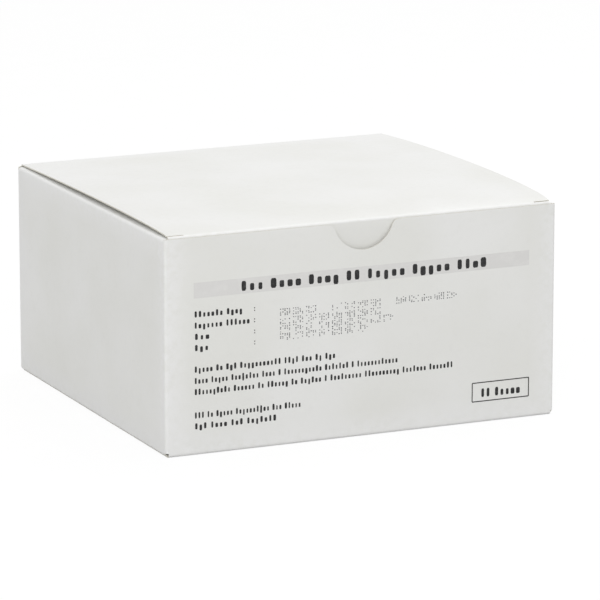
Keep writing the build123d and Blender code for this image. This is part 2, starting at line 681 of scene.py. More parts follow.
@dataclass(frozen=True)
class Ink:
    """A printed ink: an even colour that thins a little where the board's grain takes less of it."""

    name: str
    colour: Colour
    thin: Colour
    patch_scale: float = 900.0
    roughness: Pair = (0.44, 0.6)
    patch_span: Pair = (0.5, 0.72)
    specular: float = 0.35

    def material(self) -> Material:
        """Builds the ink with its thin patches.

        Returns:
            The finished material.
        """
        graph = Recipe(self.name)
        grain = graph.noise(graph.place(), self.patch_scale, detail=3.0)
        patch = graph.ranged(grain, (0.0, 1.0), over=self.patch_span)
        graph.set("Base Color", graph.mixed(patch, self.colour, self.thin))
        graph.set("Roughness", graph.ranged(grain, self.roughness))
        graph.set("Specular IOR Level", self.specular)
        return graph.material


@dataclass(frozen=True)
class StudioWhite:
    """Floor that looks white to the camera and in reflections, and still takes the object's shadow."""

    name: str = "studio_floor"
    paper: Colour = linear(196, 196, 196)
    dust: Colour = linear(188, 188, 187)
    dust_scale: float = 60.0
    white: Colour = (1.0, 1.0, 1.0, 1.0)
    glow: float = 0.78
    level: float = 1.15

    def material(self) -> Material:
        """Builds a diffuse floor with a share of plain white for what is seen straight or mirrored.

        Returns:
            The finished material.
        """
        graph = Recipe(self.name)
        white = graph.node("ShaderNodeEmission", {"Color": self.white, "Strength": self.level})
        grain = graph.noise(graph.place(), self.dust_scale, detail=2.0)
        matt = graph.node("ShaderNodeBsdfDiffuse", {"Color": graph.mixed(grain, self.paper, self.dust)})
        blend = graph.node("ShaderNodeMixShader", {"Fac": graph.product(graph.seen(), self.glow)})
        graph.feed(blend.inputs[1], matt.outputs[0])
        graph.feed(blend.inputs[2], white.outputs[0])
        graph.feed(graph.output.inputs["Surface"], blend.outputs[0])
        graph.tree.nodes.remove(graph.shader)
        return graph.material


def dress(piece: Piece, *materials: Material) -> None:
    """Gives the piece its materials.

    Args:
        piece: The mesh object to dress.
        *materials: The materials, in the order of its faces' numbers.
    """
    piece.data.materials.clear()
    for material in materials:
        piece.data.materials.append(material)


@dataclass(frozen=True)
class Board:
    """Sizes that the carton's panels share, and its three finishes."""

    half_width: float
    half_depth: float
    rear_top: float
    coated: Material
    bare: Material
    edge: Material
    thickness: float = 0.5 * MM
    score_radius: float = 1.2 * MM
    score_steps: int = 5
    rear_rise: float = 0.2 * MM
    crown: float = 0.35 * MM
    crown_power: float = 1.5

    @property
    def panel_top(self) -> float:
        """Height of the front and side panels."""
        return self.rear_top - self.rear_rise

    @property
    def flat_half_width(self) -> float:
        """Half of the front panel between its scores."""
        return self.half_width - self.score_radius

    @property
    def flat_half_depth(self) -> float:
        """Half of a side panel between its scores."""
        return self.half_depth - self.score_radius

    def swell(self, across: float, height: float) -> float:
        """How far a panel stands proud of flat, from the pouches that press on it.

        Args:
            across: Place across the panel, from -1 to 1.
            height: Place up the panel, from 0 to 1.

        Returns:
            The distance outwards.
        """
        across, height = min(1.0, abs(across)), min(1.0, max(0.0, height))
        return self.crown * (1 - across ** 2) * math.sin(math.pi * height) ** self.crown_power

    def front_face(self, x: float, z: float) -> float:
        """The Y of the front panel's outer face at a place on it."""
        return -self.half_depth - self.swell(x / self.flat_half_width, z / self.panel_top)

    def finish(self, piece: Piece, body: Body) -> None:
        """Gives a sheet its thickness, finishes, shading and body.

        Args:
            piece: The sheet, modelled as its coated face.
            body: The body that it rides on.
        """
        with Bench(piece) as bench:
            bench.merge()
        dress(piece, self.coated, self.bare, self.edge)
        apply(
            piece, "SOLIDIFY", thickness=self.thickness, offset=-1.0, use_even_offset=True,
            material_offset=1, material_offset_rim=2,
        )
        with Bench(piece) as bench:
            bench.face_out()
        smooth(piece)
        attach(piece, body.value)


def rub_and_highlight_scores(piece: Piece, near_score: Test) -> None:
    """Writes how much each vertex of a sheet belongs to a score, for the wear and the painted highlight along
    the scores.

    Args:
        piece: The sheet.
        near_score: Says whether a point is on a score.
    """
    score = piece.data.attributes.new(SCORE_LAYER, "FLOAT", "POINT")
    for vertex, value in zip(piece.data.vertices, score.data):
        value.value = 1.0 if near_score(vertex.co) else 0.0


def stops(low: float, high: float, count: int) -> list[float]:
    """Places that divide a length into equal runs, without its two ends."""
    return [low + (high - low) * n / count for n in range(1, count)]


@dataclass
class CartonShell:
    """The carton without its lid: four panels, dust flaps, glue flap and folded bottom.

    Columns, rows and runs count the faces that a length is cut into.
    """

    board: Board
    dust_length: float = 55.0 * MM
    dust_inset: float = 1.9 * MM
    lock_length: float = 9.0 * MM
    lock_step: float = 2.0 * MM
    dust_taper: float = 9.0 * MM
    dust_corner: float = 6.0 * MM
    notch_radius: float = 12.4 * MM
    notch_depth: float = 10.5 * MM
    notch_shoulder: float = 3.0 * MM
    glue_width: float = 14.0 * MM
    glue_bevel: float = 4.0 * MM
    glue_end_gap: float = 3.0 * MM
    minor_length: float = 50.0 * MM
    seam_gap: float = 0.6 * MM
    seam_offset: float = 9.0 * MM
    seam_run: float = 9.0 * MM
    tongue_width: float = 26.0 * MM
    front_columns: int = 16
    side_columns: int = 14
    rows: int = 10
    dust_rows: int = 4
    dust_arc_step: int = 15
    shoulder_runs: int = 5
    bowl_half_runs: int = 10
    tongue_columns: int = 8
    tongue_rows: int = 4

    @property
    def row_heights(self) -> list[float]:
        """Heights of the rows of faces on the four panels."""
        board = self.board
        return stops(2 * board.score_radius, board.panel_top - board.score_radius, self.rows)

    def build(self) -> list[Piece]:
        """Builds the shell, the glue flap and the seam's tongue.

        Returns:
            The finished pieces.
        """
        shell = self.wrap()
        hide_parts("carton_body")
        return [shell, self.glue_flap(), self.tongue()]

    def wrap(self) -> Piece:
        """Folds the panels and flaps out of one sheet.

        Returns:
            The finished piece.
        """
        board = self.board
        low, high = board.thickness + board.score_radius, board.panel_top - board.score_radius
        half_x, half_y = board.flat_half_width, board.flat_half_depth
        clear_selection()
        bpy.ops.mesh.primitive_cube_add(
            size=1.0,
            location=(0.0, 0.0, (low + high) / 2),
            scale=(2 * board.half_width, 2 * board.half_depth, high - low),
        )
        piece = added("carton_shell")
        with Bench(piece) as bench:
            # The four panels, open at the top and the bottom, with their upright scores rounded.
            bench.choose(Part.FACE, lambda p: abs(p.z - low) < NEAR or abs(p.z - high) < NEAR)
            bench.remove()
            bench.choose(Part.EDGE, self.at_corner)
            bpy.ops.mesh.bevel(offset=board.score_radius, segments=board.score_steps, affect="EDGES")
            self.fold_bottom(bench, low)
            self.fold_top(bench, high)

            # A net of faces, so that the panels can swell and the seam and the notch can be drawn.
            bench.cut(Axis.X, [*stops(-half_x, half_x, self.front_columns), -self.seam_run, self.seam_run])
            bench.cut(Axis.Y, stops(-half_y, half_y, self.side_columns))
            bench.cut(Axis.Z, self.row_heights)
            bench.shape(self.hooked, lambda p: abs(p.y) < self.seam_gap and p.z < NEAR)
            self.draw_notch(bench)
            bench.shape(self.swollen)
        rub_and_highlight_scores(piece, self.on_score)
        board.finish(piece, Body.CARTON)
        return piece

    def at_corner(self, point: Vector) -> bool:
        """Whether a point is on one of the four upright corners."""
        board = self.board
        return abs(abs(point.x) - board.half_width) < NEAR and abs(abs(point.y) - board.half_depth) < NEAR

    def on_score(self, point: Vector) -> bool:
        """Says whether a point is on an upright score, a roll or a bottom fold.

        Args:
            point: A point of the shell.

        Returns:
            True on a score.
        """
        board = self.board
        past_x = abs(point.x) > board.flat_half_width - NEAR
        past_y = abs(point.y) > board.flat_half_depth - NEAR
        upright = past_x and past_y
        rolled = past_x and point.z > board.panel_top - board.score_radius - NEAR
        bottom = (past_x or past_y) and point.z < board.thickness + board.score_radius + NEAR
        return upright or rolled or bottom

    def fold_bottom(self, bench: Bench, low: float) -> None:
        """Rolls the outer bottom flaps under the front and back, and the inner ones in from the sides.

        Args:
            bench: Edit mode on the sheet.
            low: Height of the sheet's lower edge.
        """
        board = self.board
        reach = self.minor_length - board.score_radius
        ends = board.flat_half_depth
        for side in (-1, 1):
            wall_x, wall_y = side * board.half_width, side * board.half_depth
            bench.choose(Part.EDGE, lambda p: abs(p.z - low) < NEAR and abs(p.y - wall_y) < NEAR)
            bench.pull(z=-board.thickness)
            bench.roll((0.0, side * ends, board.score_radius), Axis.X, -90 * side, board.score_steps)
            bench.pull(y=-side * (ends - self.seam_gap / 2))
            bench.choose(Part.EDGE, lambda p: abs(p.z - low) < NEAR and abs(p.x - wall_x) < NEAR)
            bench.roll((side * board.flat_half_width, 0.0, low), Axis.Y, 90 * side, board.score_steps)
            bench.pull(x=-side * reach)
            bench.fit_ends(Axis.Y, (-ends, ends), (reach - ends, ends - reach))

    def fold_top(self, bench: Bench, high: float) -> None:
        """Raises the front and back edges and rolls the dust flaps in from the sides.

        Args:
            bench: Edit mode on the sheet.
            high: Height of the sheet's upper edge.
        """
        board = self.board
        top, rear = board.panel_top, board.half_depth
        bench.choose(Part.EDGE, lambda p: abs(p.z - high) < NEAR and abs(p.y) > board.flat_half_depth)
        bench.pull(z=board.score_radius)
        bench.choose(Part.EDGE, lambda p: abs(p.z - top) < NEAR and abs(p.y - rear) < NEAR)
        bench.pull(z=board.rear_rise)
        for side in (-1, 1):
            wall_x = side * board.half_width
            bench.choose(Part.EDGE, lambda p: abs(p.z - high) < NEAR and abs(p.x - wall_x) < NEAR)
            bench.roll((side * board.flat_half_width, 0.0, high), Axis.Y, -90 * side, board.score_steps)
            self.draw_dust_flap(bench, side)

    def dust_stations(self) -> list[tuple[float, float, float]]:
        """Lays out the rows of a dust flap, from its root to its rounded end.

        Returns:
            How far each row reaches from the root, and the Y of its front and rear ends.
        """
        board = self.board
        front = self.dust_inset - board.half_depth
        rear = board.flat_half_depth
        tip = self.dust_length - board.score_radius
        hooked = self.lock_length + self.lock_step
        arc_start = tip - self.dust_corner
        turns = [math.radians(angle) for angle in range(0, 91, self.dust_arc_step)]
        arc = [arc_start + self.dust_corner * math.sin(turn) for turn in turns]
        rows = [(self.lock_length, front, rear - self.dust_taper * self.lock_length / tip)]
        for reach in [hooked, *stops(hooked, arc_start, self.dust_rows), *arc]:
            bite = max(0.0, reach - arc_start)
            rounded = self.dust_corner - math.sqrt(max(0.0, self.dust_corner ** 2 - bite ** 2))
            low = front + self.lock_step + self.dust_taper * (reach - hooked) / (tip - hooked) + rounded
            rows.append((reach, low, rear - self.dust_taper * reach / tip - rounded))
        return rows

    def draw_dust_flap(self, bench: Bench, side: int) -> None:
        """Extrudes a dust flap through its lock step, its taper and its rounded end.

        Args:
            bench: Edit mode on the sheet, with the roll's last edges chosen.
            side: -1 for the left flap and 1 for the right one.
        """
        ends = (-self.board.flat_half_depth, self.board.flat_half_depth)
        before = 0.0
        for reach, low, high in self.dust_stations():
            bench.pull(x=-side * (reach - before))
            bench.fit_ends(Axis.Y, ends, (low, high))
            ends, before = (low, high), reach

    def hooked(self, point: Vector) -> Vector:
        """Where a point of the bottom's meeting line goes on the hooked seam."""
        share = max(-1.0, min(1.0, point.x / self.seam_run))
        return Vector((point.x, point.y - share * self.seam_offset, point.z))

    def notch_outline(self) -> list[Pair]:
        """Draws the thumb notch as a round bowl that two round shoulders lead into.

        Returns:
            Places across and up the front panel, from the left shoulder to the right one.
        """
        bowl, ease = self.notch_radius, self.notch_shoulder
        level = self.board.panel_top - ease
        rise = bowl + ease - self.notch_depth
        turn = math.acos(rise / (bowl + ease))
        centre = (bowl + ease) * math.sin(turn)
        eased = [turn * n / self.shoulder_runs for n in range(self.shoulder_runs)]
        left = [(ease * math.sin(angle) - centre, level + ease * math.cos(angle)) for angle in eased]
        half_runs = self.bowl_half_runs
        swept = [turn * n / half_runs for n in range(-half_runs, half_runs + 1)]
        middle = [(bowl * math.sin(angle), level + rise - bowl * math.cos(angle)) for angle in swept]
        return left + middle + [(-x, z) for x, z in reversed(left)]

    def draw_notch(self, bench: Bench) -> None:
        """Cuts fine columns into the front panel's upper edge and draws them down round the notch.

        Args:
            bench: Edit mode on the sheet.
        """
        board = self.board
        outline = self.notch_outline()
        reach = -outline[0][0]
        top, base = board.panel_top, self.row_heights[-2]
        runs = len(outline) - 1

        def in_front(point: Vector) -> bool:
            """Whether a point is on the front panel above the notch's base row."""
            return abs(point.y + board.half_depth) < NEAR and point.z > base - NEAR

        def drawn(point: Vector) -> Vector:
            """Draws a point above the base row down to the notch.

            Args:
                point: A point on one of the fine columns.

            Returns:
                Where the point goes.
            """
            place = (point.x + reach) / (2 * reach) * runs
            run = min(runs - 1, int(place))
            share = place - run
            x = outline[run][0] * (1 - share) + outline[run + 1][0] * share
            z = outline[run][1] * (1 - share) + outline[run + 1][1] * share
            height = (point.z - base) / (top - base)
            return Vector((point.x + (x - point.x) * height, point.y, base + (z - base) * height))

        columns = [-reach + 2 * reach * n / runs for n in range(runs + 1)]
        bench.cut(Axis.X, columns, lambda p: in_front(p) and abs(p.x) < 2 * reach)
        bench.shape(drawn, lambda p: in_front(p) and abs(p.x) < reach + NEAR)

    def swollen(self, point: Vector) -> Vector:
        """Presses a point of the flat panels outwards, as the pouches do.

        Args:
            point: A point of the folded sheet.

        Returns:
            The point on the swollen panel.
        """
        board = self.board
        height = point.z / board.panel_top
        if abs(abs(point.y) - board.half_depth) < NEAR:
            point.y += math.copysign(board.swell(point.x / board.flat_half_width, height), point.y)
        elif abs(abs(point.x) - board.half_width) < NEAR:
            point.x += math.copysign(board.swell(point.y / board.flat_half_depth, height), point.x)
        return point

    def glue_flap(self) -> Piece:
        """Makes the flap that is stuck inside the rear end of the right side panel.

        Returns:
            The finished piece.
        """
        board = self.board
        rear = board.flat_half_depth
        low, high = self.glue_end_gap, board.panel_top - self.glue_end_gap
        inner_x = board.half_width - board.thickness - NEAR
        clear_selection()
        bpy.ops.mesh.primitive_plane_add(
            size=1.0,
            location=(inner_x, rear - self.glue_width / 2, (low + high) / 2),
            rotation=(math.pi / 2, 0.0, math.pi / 2),
        )
        bpy.ops.transform.resize(value=(1.0, self.glue_width, high - low))
        piece = added("glue_flap")
        with Bench(piece) as bench:
            bench.choose(Part.EDGE, lambda p: abs(p.y - rear + self.glue_width) < NEAR)
            bench.fit_ends(Axis.Z, (low, high), (low + self.glue_bevel, high - self.glue_bevel))
            bench.cut(Axis.Z, stops(low, high, self.rows))
        rub_and_highlight_scores(piece, lambda p: abs(p.y - rear) < NEAR)
        board.finish(piece, Body.CARTON)
        return piece

    def tongue(self) -> Piece:
        """Makes the strip that is glued over the bottom's seam, between the inner flaps.

        Returns:
            The finished piece.
        """
        board = self.board
        half = board.half_width - self.minor_length - board.thickness
        clear_selection()
        bpy.ops.mesh.primitive_plane_add(
            size=1.0, location=(0.0, 0.0, board.thickness + NEAR), rotation=(math.pi, 0.0, 0.0)
        )
        bpy.ops.transform.resize(value=(2 * half, self.tongue_width, 1.0))
        piece = added("bottom_tongue")
        with Bench(piece) as bench:
            bench.cut(Axis.X, [*stops(-half, half, self.tongue_columns), -self.seam_run, self.seam_run])
            bench.cut(Axis.Y, stops(-self.tongue_width / 2, self.tongue_width / 2, self.tongue_rows))
            bench.shape(self.hooked)
        rub_and_highlight_scores(piece, lambda _: False)
        board.finish(piece, Body.CARTON)
        return piece


@dataclass
class TuckLid:
    """The lid panel with its bow, its front fold, its slits and the tuck flap behind the front panel."""

    board: Board
    half_width: float
    bow_left: float = 1.3 * MM
    bow_right: float = 2.8 * MM
    bow_crown_share: float = 0.75
    front_reach: float = 7.0 * MM
    rear_reach: float = 55.0 * MM
    fold_radius: float = 0.8 * MM
    tuck_clearance: float = 0.3 * MM
    tuck_depth: float = 18.0 * MM
    tuck_lean: float = 5.0
    tuck_corner: float = 8.0 * MM
    slit_length: float = 6.5 * MM
    slit_width: float = 0.6 * MM
    gap: float = 0.3 * MM
    rows: int = 22
    columns: int = 18
    fold_steps: int = 6
    tuck_rows: int = 3
    tuck_arc_step: int = 15
    halvings: int = 40
    crease_reach: float = 1.6 * MM
    crease_skin: float = 0.05 * MM
    crease_bend_share: float = 0.7
    crease_smooth_angle: float = 40.0

    @property
    def top(self) -> float:
        """Height of the lid's upper face where it isn't bowed."""
        return self.board.panel_top + self.gap + self.board.thickness

    @property
    def fold_y(self) -> float:
        """The Y of the front fold's axis."""
        return self.board.thickness + self.tuck_clearance + self.fold_radius - self.board.half_depth

    def build(self) -> list[Piece]:
        """Builds the lid and the crease that joins it to the back panel.

        Returns:
            The finished pieces.
        """
        panel = self.panel()
        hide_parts("lid")
        return [panel, self.crease()]

    def bowed(self, point: Vector) -> Vector:
        """Where a point of the flat panel goes once the panel is bowed.

        Args:
            point: A point whose Y tells how far it lies along the bow's curve.

        Returns:
            The point on the curve.
        """
        rear = self.board.half_depth
        run = (rear - point.y) / (rear - self.fold_y)
        rest = 1 - run
        side = (point.x + self.half_width) / (2 * self.half_width)
        rise = (self.bow_left + (self.bow_right - self.bow_left) * side) / self.bow_crown_share
        lift = 3 * run * rest * rise
        y = rest ** 3 * rear + 3 * rest ** 2 * run * (rear - self.rear_reach)
        y += 3 * rest * run ** 2 * (self.fold_y + self.front_reach) + run ** 3 * self.fold_y
        return Vector((point.x, y, point.z + lift))

    def run_at(self, y: float) -> float:
        """Finds the flat panel's Y that the bow takes to a wanted one, by halving the interval.

        Args:
            y: The wanted Y on the bowed panel.

        Returns:
            The Y on the flat panel.
        """
        low, high = self.fold_y, self.board.half_depth
        for _ in range(self.halvings):
            middle = (low + high) / 2
            if self.bowed(Vector((0.0, middle, 0.0))).y < y:
                low = middle
            else:
                high = middle
        return (low + high) / 2

    def panel(self) -> Piece:
        """Bows the panel, rolls its front fold and extrudes the tuck flap.

        Returns:
            The finished piece.
        """
        board = self.board
        rear, front = board.half_depth, self.fold_y
        clear_selection()
        bpy.ops.mesh.primitive_plane_add(size=1.0, location=(0.0, (rear + front) / 2, self.top))
        bpy.ops.transform.resize(value=(2 * self.half_width, rear - front, 1.0))
        piece = added("tuck_lid")
        slit_row = self.run_at(front + self.slit_width)
        slit_end = self.half_width - self.slit_length

        def on_panel(point: Vector) -> bool:
            """Whether a point is on the flat panel, behind the front fold."""
            return point.y > front + NEAR and point.z > self.top - NEAR

        with Bench(piece) as bench:
            bench.choose(Part.EDGE, lambda p: abs(p.y - front) < NEAR)
            centre = (0.0, front, self.top - self.fold_radius)
            bench.roll(centre, Axis.X, 90 + self.tuck_lean, self.fold_steps)
            self.draw_tuck_flap(bench)

            # The slits are cut while the panel is still flat, and then it is bowed.
            bench.cut(Axis.X, [*stops(-self.half_width, self.half_width, self.columns), -slit_end, slit_end])
            bench.cut(Axis.Y, [*stops(front, rear, self.rows), slit_row], on_panel)
            bench.choose(Part.FACE, lambda p: on_panel(p) and p.y < slit_row and abs(p.x) > slit_end)
            bench.remove()
            bench.shape(self.bowed, lambda p: p.y > front - NEAR and p.z > self.top - NEAR)
        rub_and_highlight_scores(piece, self.on_fold)
        board.finish(piece, Body.LID)
        return piece

    def draw_tuck_flap(self, bench: Bench) -> None:
        """Extrudes the tuck flap down to its rounded lower corners.

        Args:
            bench: Edit mode on the sheet, with the fold's last edges chosen.
        """
        lean = math.radians(self.tuck_lean)
        ends, before = (-self.half_width, self.half_width), 0.0
        for reach, inset in self.tuck_stations():
            run = reach - before
            drawn_in = (inset - self.half_width, self.half_width - inset)
            bench.pull(y=run * math.sin(lean), z=-run * math.cos(lean))
            bench.fit_ends(Axis.X, ends, drawn_in)
            ends, before = drawn_in, reach

    def tuck_stations(self) -> list[Pair]:
        """Lays out the rows of the tuck flap, from the fold to its lower edge.

        Returns:
            How far each row reaches from the fold, and how far its ends draw in.
        """
        corner = self.tuck_corner
        arc_start = self.tuck_depth - corner
        rows = [(reach, 0.0) for reach in [*stops(0.0, arc_start, self.tuck_rows), arc_start]]
        for angle in range(self.tuck_arc_step, 91, self.tuck_arc_step):
            turn = math.radians(angle)
            rows.append((arc_start + corner * math.sin(turn), corner * (1 - math.cos(turn))))
        return rows

    def on_fold(self, point: Vector) -> bool:
        """Whether a point is on the front fold or at the rear score."""
        on_front = point.y < self.fold_y + NEAR and point.z > self.top - self.fold_radius - NEAR
        return on_front or point.y > self.board.half_depth - NEAR

    def crease(self) -> Piece:
        """Makes the rear score's skin, which bends between the back panel and the lid.

        Returns:
            The finished piece.
        """
        board = self.board
        rear, reach = board.half_depth, self.crease_reach
        level = self.top + self.crease_skin
        clear_selection()
        bpy.ops.mesh.primitive_plane_add(size=1.0, location=(0.0, rear - reach / 2, level))
        bpy.ops.transform.resize(value=(2 * self.half_width, reach, 1.0))
        piece = added("rear_crease")
        with Bench(piece) as bench:
            bench.choose(Part.EDGE, lambda p: abs(p.y - rear) < NEAR)
            bench.roll((0.0, rear, self.top), Axis.X, -90, board.score_steps)
            bench.pull(z=-reach)
            bench.cut(Axis.X, stops(-self.half_width, self.half_width, self.columns))
        rub_and_highlight_scores(piece, lambda _: True)
        dress(piece, board.coated)
        apply(piece, "SOLIDIFY", thickness=self.crease_skin, offset=-1.0, use_even_offset=True)
        smooth(piece, self.crease_smooth_angle)
        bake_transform(piece)
        return piece


@dataclass(frozen=True)
class Foil:
    """Matt laminated foil of the pouches, with knurled seals, a plain band and word-like rows.

    The sheet's own map holds millimetres from the pouch's middle, and so do the spans and the pitches
    here. The unprinted side lies far to the right on that map.
    """

    name: str = "foil_laminate"
    silver: Colour = linear(203, 204, 207)
    dull: Colour = linear(182, 184, 188)
    band: Colour = linear(52, 84, 118)
    print_grey: Colour = linear(70, 74, 80)
    bare_metal: float = 0.9
    inked_metal: float = 0.1
    roughness: Pair = (0.26, 0.42)
    sealed_roughness: float = 0.08
    seal_side: float = 29.0
    seal_end: float = 62.0
    seal_ramp: float = 0.5
    band_across: Pair = (-26.0, 26.0)
    band_along: Pair = (38.0, 50.0)
    rows: PrintedRows = PrintedRows(pitch=4.0, share=0.4, word_pitch=2.0, word_break=0.44)
    rows_across: Pair = (-24.0, 24.0)
    rows_along: Pair = (4.0, 32.0)
    tear_across: Pair = (-36.0, 36.0)
    tear_along: Pair = (58.8, 59.2)
    tear_pitch: float = 3.0
    tear_share: float = 0.5
    knurl_turn: float = 3.4
    knurl_height: float = 0.12 * MM
    crease_scale: float = 150.0
    crease_run: Triple = (1.0, 0.45, 1.0)
    crease_span: Pair = (0.3, 0.7)
    crease_height: float = 0.5 * MM
    cloud_scale: float = 60.0
    cloud_span: Pair = (0.35, 0.65)

    def material(self) -> Material:
        """Builds the foil, its knurled seals, its creases and its print.

        Returns:
            The finished material.
        """
        graph = Recipe(self.name)
        sheet = graph.node("ShaderNodeUVMap", uv_map=SHEET_LAYER).outputs["UV"]
        parts = graph.node("ShaderNodeSeparateXYZ", {"Vector": sheet})
        across, along = parts.outputs["X"], parts.outputs["Y"]
        sealed = graph.maths(
            "MAXIMUM", self.past(graph, across, self.seal_side), self.past(graph, along, self.seal_end)
        )
        crease = graph.noise(graph.place(self.crease_run), self.crease_scale, detail=5.0)
        cloud = graph.noise(graph.place(), self.cloud_scale, detail=2.0)
        printed = self.print_mask(graph, across, along)
        in_band = graph.product(graph.within(along, self.band_along), graph.within(across, self.band_across))
        colour = graph.mixed(graph.ranged(cloud, (0.0, 1.0), over=self.cloud_span), self.silver, self.dull)
        colour = graph.mixed(printed, colour, self.print_grey)
        graph.set("Base Color", graph.mixed(in_band, colour, self.band))
        inked = graph.maths("MAXIMUM", printed, in_band)
        graph.set("Metallic", graph.ranged(inked, (self.bare_metal, self.inked_metal)))
        rough = graph.ranged(crease, self.roughness, over=self.crease_span)
        graph.set("Roughness", graph.maths("ADD", rough, graph.product(sealed, self.sealed_roughness)))
        rising = graph.maths("SINE", graph.product(graph.maths("ADD", across, along), self.knurl_turn))
        falling = graph.maths("SINE", graph.product(graph.maths("SUBTRACT", across, along), self.knurl_turn))
        knurl = graph.product(rising, falling, sealed)
        graph.set("Normal", graph.bump(knurl, self.knurl_height, graph.bump(crease, self.crease_height)))
        return graph.material

    def past(self, graph: Graph, value: Socket, edge: float) -> Socket:
        """One further than an edge from the pouch's middle, to both sides."""
        return graph.ranged(graph.maths("ABSOLUTE", value), (0.0, 1.0), over=(edge, edge + self.seal_ramp))

    def print_mask(self, graph: Graph, across: Socket, along: Socket) -> Socket:
        """Marks rows of blocks under the band and a dashed line at the tear notches.

        Args:
            graph: The material's graph.
            across: Place across the sheet.
            along: Place along the sheet.

        Returns:
            One on a block or a dash and zero beside it.
        """
        by_rows = graph.product(graph.within(along, self.rows_along), graph.within(across, self.rows_across))
        rows = graph.product(self.rows.mask(graph, across, along), by_rows)
        by_tear = graph.product(graph.within(along, self.tear_along), graph.within(across, self.tear_across))
        tear = graph.product(graph.dashes(across, self.tear_pitch, self.tear_share), by_tear)
        return graph.maths("MAXIMUM", rows, tear)


@dataclass
class Pouches:
    """The sealed pouches. One is modelled and copied to every place in the two stacks."""

    foil: Material
    count: int = 25
    seal_width: float = 9.0 * MM
    seal_thickness: float = 0.4 * MM
    seal_corner: float = 2.0 * MM
    shoulder: float = 7.0 * MM
    blister_corner: float = 8.0 * MM
    tear_offset: float = 12.0 * MM
    tear_reach: float = 1.7 * MM
    cassette: Pair = (11.0 * MM, 36.0 * MM)
    cassette_step: float = 0.35 * MM
    cassette_ramp: float = 1.5 * MM
    wrinkle: float = 0.16 * MM
    wrinkle_run: float = 1.9 * MM
    wrinkle_sway: float = 2.0
    wrinkle_sway_run: float = 6.0 * MM
    corner_steps: int = 3
    shoulder_runs: int = 4
    cassette_runs: tuple[int, int] = (4, 12)
    smooth_angle: float = 50.0
    back_shift: float = 200.0

    def build(self) -> list[Piece]:
        """Copies the pouch to each packed place.

        Returns:
            The finished pieces.
        """
        low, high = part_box("pouch_01")
        master = self.master((high - low) / 2)
        made = []
        for number in range(1, self.count + 1):
            node = f"pouch_{number:02d}"
            low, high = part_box(node)
            pouch = copied(master, f"sealed_{node}", Matrix.Translation((low + high) / 2))
            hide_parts(node)
            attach(pouch, Body.CARTON.value)
            made.append(pouch)
        discard(master)
        return made

    def master(self, half: Vector) -> Piece:
        """Models one pouch round the origin.

        Args:
            half: Half of the pouch's width, length and height.

        Returns:
            The finished pouch.
        """
        clear_selection()
        bpy.ops.mesh.primitive_plane_add(size=1.0, location=(0.0, 0.0, self.seal_thickness / 2))
        bpy.ops.transform.resize(value=(2 * half.x, 2 * half.y, 1.0))
        piece = added("pouch")
        blister = Vector((half.x - self.seal_width, half.y - self.seal_width))
        flat = blister - Vector((self.shoulder, self.shoulder))
        tear = half.y - self.tear_offset
        with Bench(piece) as bench:
            bench.choose(Part.VERTEX, lambda _: True)
            bpy.ops.mesh.bevel(offset=self.seal_corner, segments=self.corner_steps, affect="VERTICES")
            bench.cut(Axis.Y, [tear - self.tear_reach, tear, tear + self.tear_reach])
            bench.choose(Part.VERTEX, lambda p: abs(p.y - tear) < NEAR)
            bench.fit_ends(Axis.X, (-half.x, half.x), (self.tear_reach - half.x, half.x - self.tear_reach))

            # Cuts where the blister's shoulder and the outline of its contents will rise.
            for axis, runs in zip(Axis, self.cassette_runs):
                edge = self.cassette[axis]
                shoulder = stops(flat[axis], blister[axis], self.shoulder_runs)
                places = [*shoulder, flat[axis], blister[axis], edge, edge + self.cassette_ramp]
                bench.cut(axis, [*stops(-edge, edge, runs), *places, *(-place for place in places)])
            bench.everything()
            bench.thicken(z=-self.seal_thickness)
            bench.merge()
            bench.face_out()
            bench.shape(lambda p: self.puffed(p, blister, half.z))
        self.map_sheet(piece)
        dress(piece, self.foil)
        smooth(piece, self.smooth_angle)
        return piece

    def puffed(self, point: Vector, blister: Vector, crest: float) -> Vector:
        """Where a point of the flat sheets goes once the contents fill the pouch.

        Args:
            point: A point of the upper or the lower sheet.
            blister: Half of the blister's width and length.
            crest: Half of the pouch's height.

        Returns:
            The point on the filled pouch.
        """
        in_x, in_y = blister.x - abs(point.x), blister.y - abs(point.y)
        inside = min(in_x, in_y, (in_x + in_y - self.blister_corner) / math.sqrt(2))
        if inside <= 0:
            return point
        ease = math.sin(math.pi / 2 * min(1.0, inside / self.shoulder))
        over = max(abs(point.x) - self.cassette[0], abs(point.y) - self.cassette[1])
        top = crest - self.cassette_step * min(1.0, max(0.0, over / self.cassette_ramp))
        height = self.seal_thickness / 2 + (top - self.seal_thickness / 2) * ease
        sway = self.wrinkle_sway * math.sin(point.x / self.wrinkle_sway_run)
        ripple = math.sin(point.y / self.wrinkle_run + sway)
        height += self.wrinkle * ripple * 4 * ease * (1 - ease)
        return Vector((point.x, point.y, math.copysign(height, point.z)))

    def map_sheet(self, piece: Piece) -> None:
        """Writes the sheet's own map in millimetres, with the unprinted side far to the right.

        Args:
            piece: The pouch.
        """
        mesh = piece.data
        layer = mesh.uv_layers.active
        layer.name = SHEET_LAYER
        for face in mesh.polygons:
            shift = self.back_shift if face.normal.z < 0 else 0.0
            for corner in face.loop_indices:
                place = mesh.vertices[mesh.loops[corner].vertex_index].co
                layer.data[corner].uv = (place.x / MM + shift, place.y / MM)


